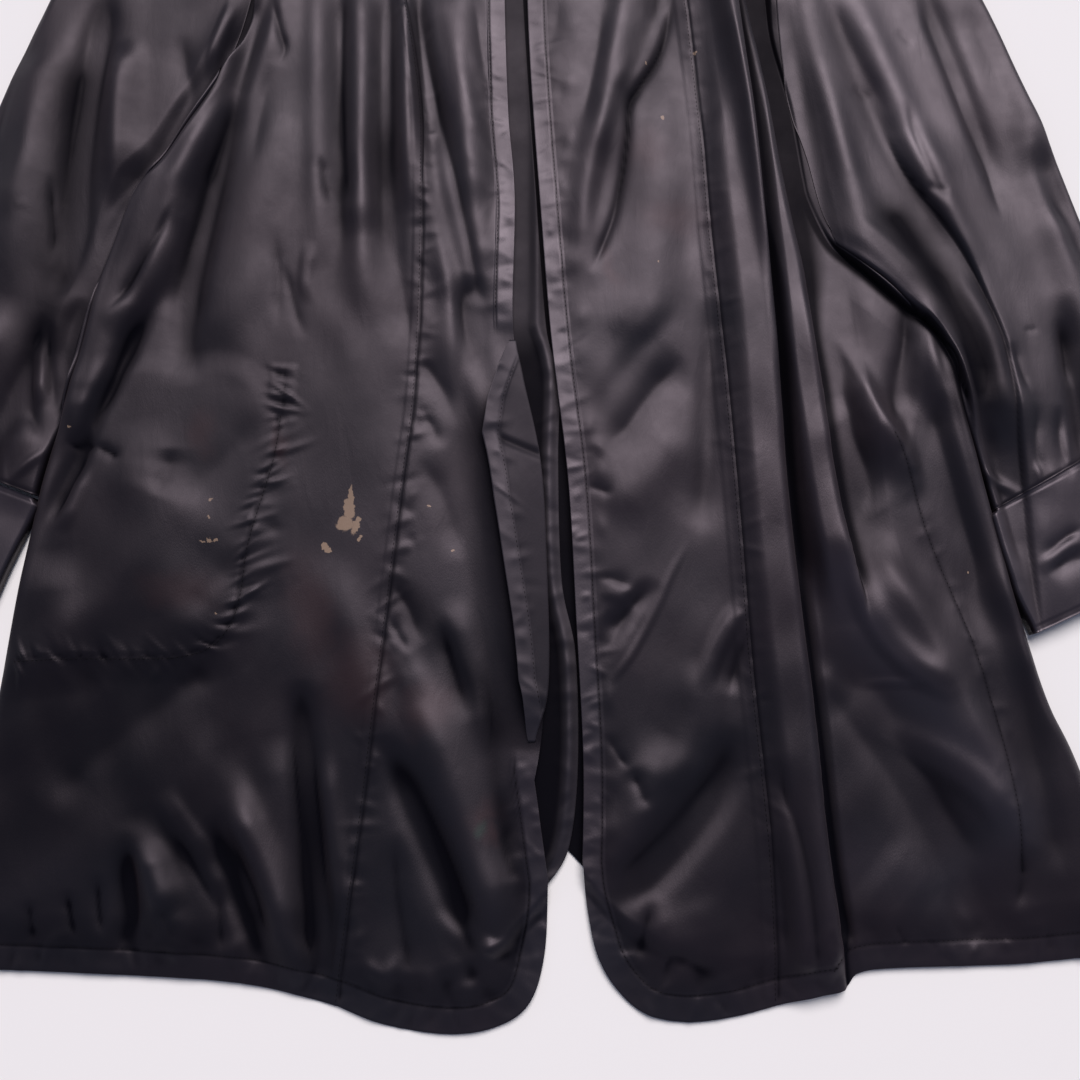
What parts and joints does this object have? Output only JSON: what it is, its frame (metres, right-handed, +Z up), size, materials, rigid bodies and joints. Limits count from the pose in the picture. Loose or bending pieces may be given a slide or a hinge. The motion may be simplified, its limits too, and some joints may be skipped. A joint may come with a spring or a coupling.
{
  "type": "open-front satin jacket laid flat",
  "caption": "Long loose satin jacket with an open front, rounded front corners, set-in sleeves with cuffs and side pockets, laid flat on its back.",
  "frame": {"origin": "bottom centre of the bounding box, on the floor under the middle of the jacket", "axes": "+X across the jacket towards the sleeve on the viewer's right, +Y from the hem to the neck, +Z up from the floor"},
  "size_m": [0.9418, 0.8407, 0.0294],
  "materials": {
    "satin_outside": "over-dyed black satin with a soft mauve-grey sheen",
    "satin_inside": "matt inner face of the satin",
    "pocket_cloth": "plain black pocket cloth"
  },
  "bodies": {
    "root": {"back_left": "satin_inside", "back_right": "satin_inside", "pocket_bag_left": "pocket_cloth", "pocket_bag_right": "pocket_cloth", "side_front_left": "satin_outside", "front_left": "satin_outside", "front_right": "satin_outside", "side_front_right": "satin_outside", "turned_edge_left": "satin_inside", "sleeve_left": "satin_outside", "sleeve_right": "satin_outside", "cuff_left": "satin_outside", "cuff_right": "satin_outside"}
  },
  "joints": []
}
